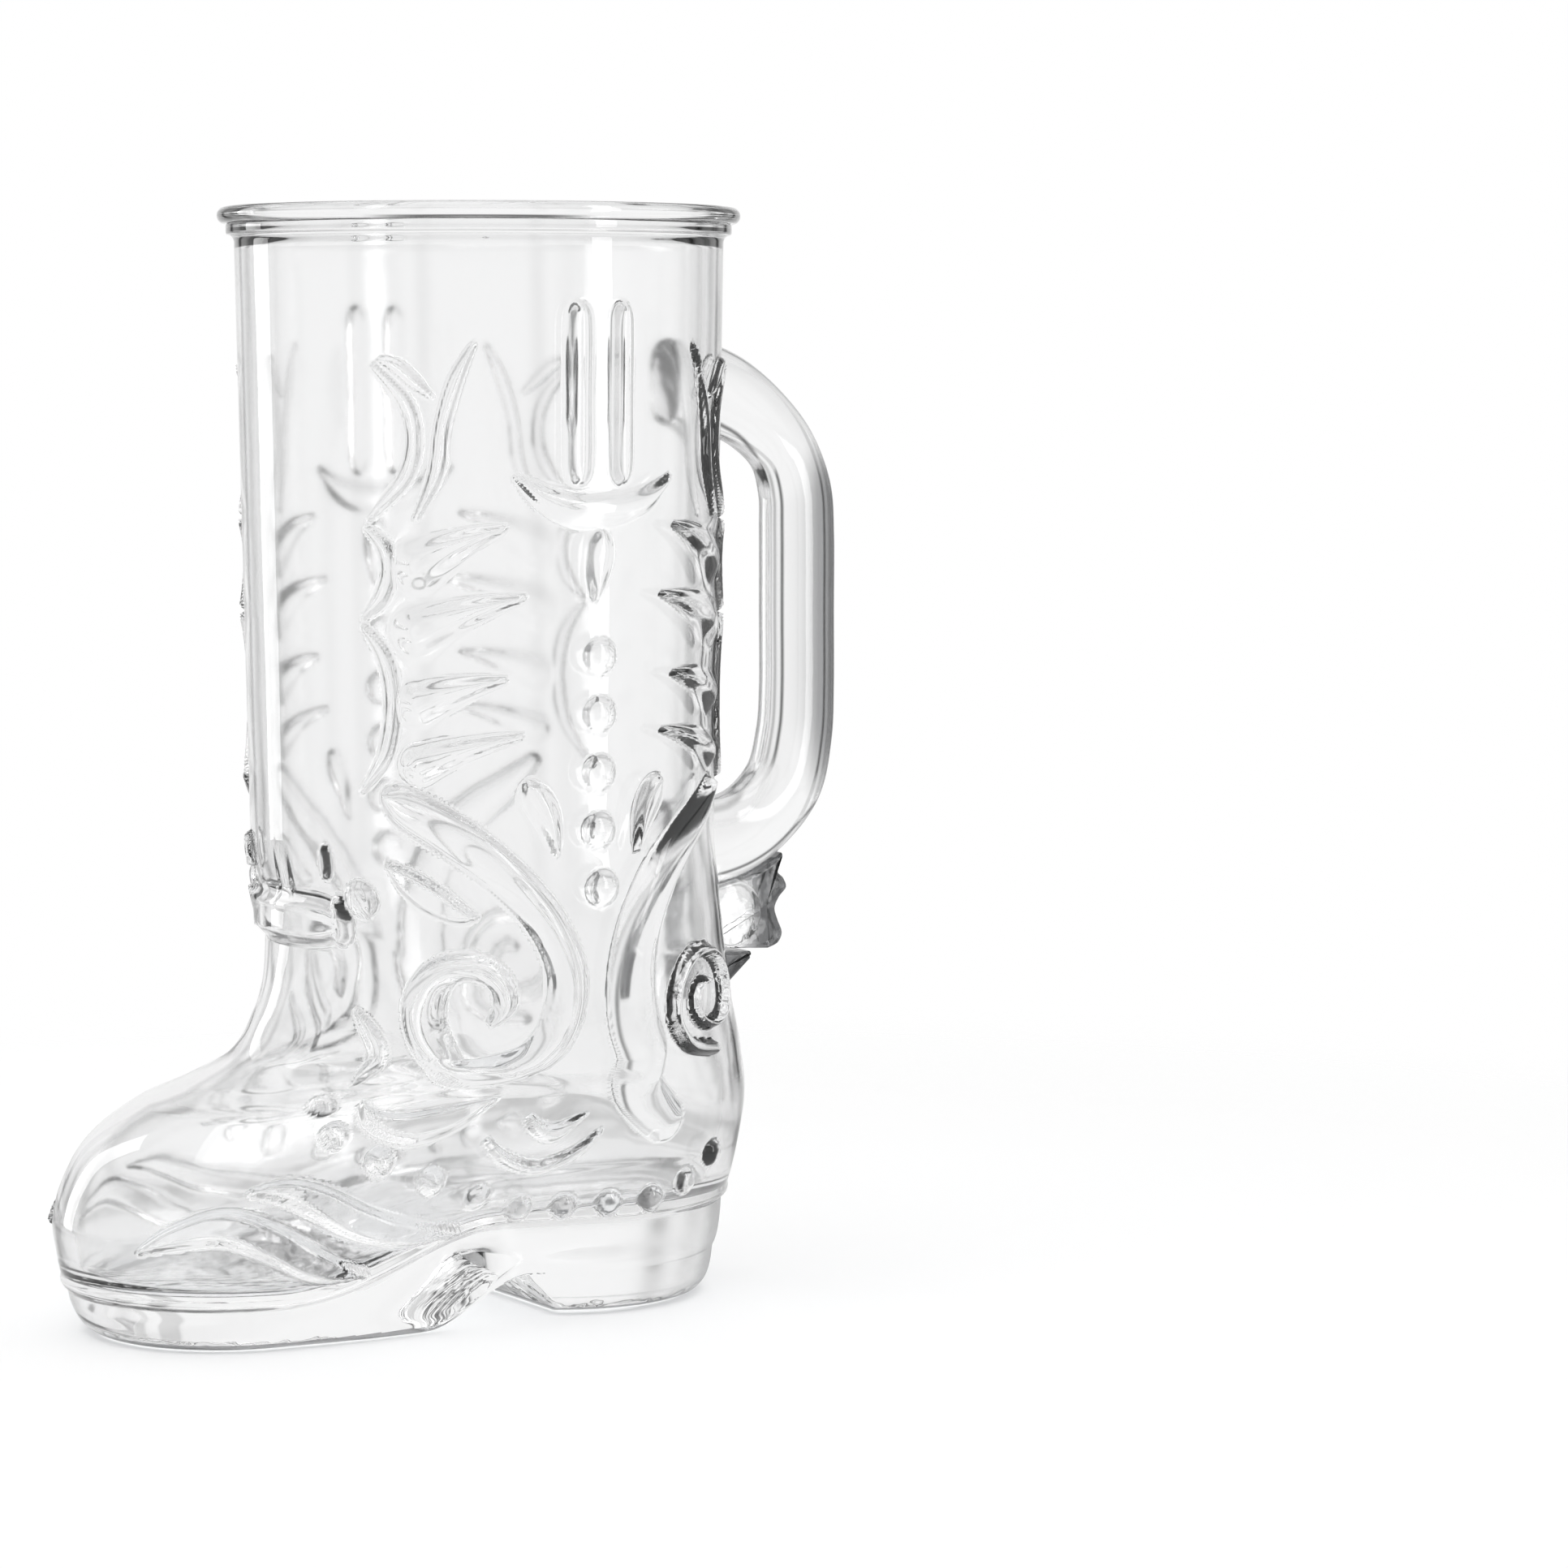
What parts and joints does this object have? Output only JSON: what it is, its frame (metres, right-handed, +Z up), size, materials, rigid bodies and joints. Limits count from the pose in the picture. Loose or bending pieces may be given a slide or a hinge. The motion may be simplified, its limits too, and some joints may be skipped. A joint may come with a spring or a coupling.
{
  "type": "beer boot glass",
  "caption": "Clear pressed-glass beer mug in the shape of a western boot, with a rounded handle, a spur, a stepped rim and raised scrollwork.",
  "frame": {"origin": "on the table under the middle of the glass's length and width, between the toe's tip and the outside of the handle", "axes": "+Z up to the mouth; the toe points along -X and the handle along +X; Y runs across the foot"},
  "size_m": [0.159, 0.095, 0.2],
  "materials": {
    "rim_glass": "clear, fire polished",
    "wall_glass": "clear, slightly wavy pressed glass",
    "sole_glass": "clear, thick pressed glass",
    "handle_glass": "clear, solid pressed glass",
    "relief_glass": "clear raised ornament"
  },
  "bodies": {
    "root": {"rim_bead": "rim_glass", "rim_collar": "rim_glass", "leg_wall": "wall_glass", "foot_shell": "wall_glass", "sole": "sole_glass", "heel_block": "sole_glass", "handle": "handle_glass", "spur_rowel": "handle_glass", "spur_bosses": "handle_glass", "spur_stub": "handle_glass", "ankle_strap": "relief_glass", "strap_buckle": "relief_glass", "ankle_studs": "relief_glass", "pull_straps": "relief_glass", "strap_anchors": "relief_glass", "wing_cords": "relief_glass", "horn_cords": "relief_glass", "flame_teeth": "relief_glass", "side_studs": "relief_glass", "front_scrolls": "relief_glass", "rear_scrolls": "relief_glass", "rear_volutes": "relief_glass", "small_leaves": "relief_glass", "ankle_leaves": "relief_glass", "foot_crescents": "relief_glass", "instep_folds": "relief_glass", "welt_studs": "relief_glass", "toe_flames": "relief_glass"}
  },
  "joints": []
}
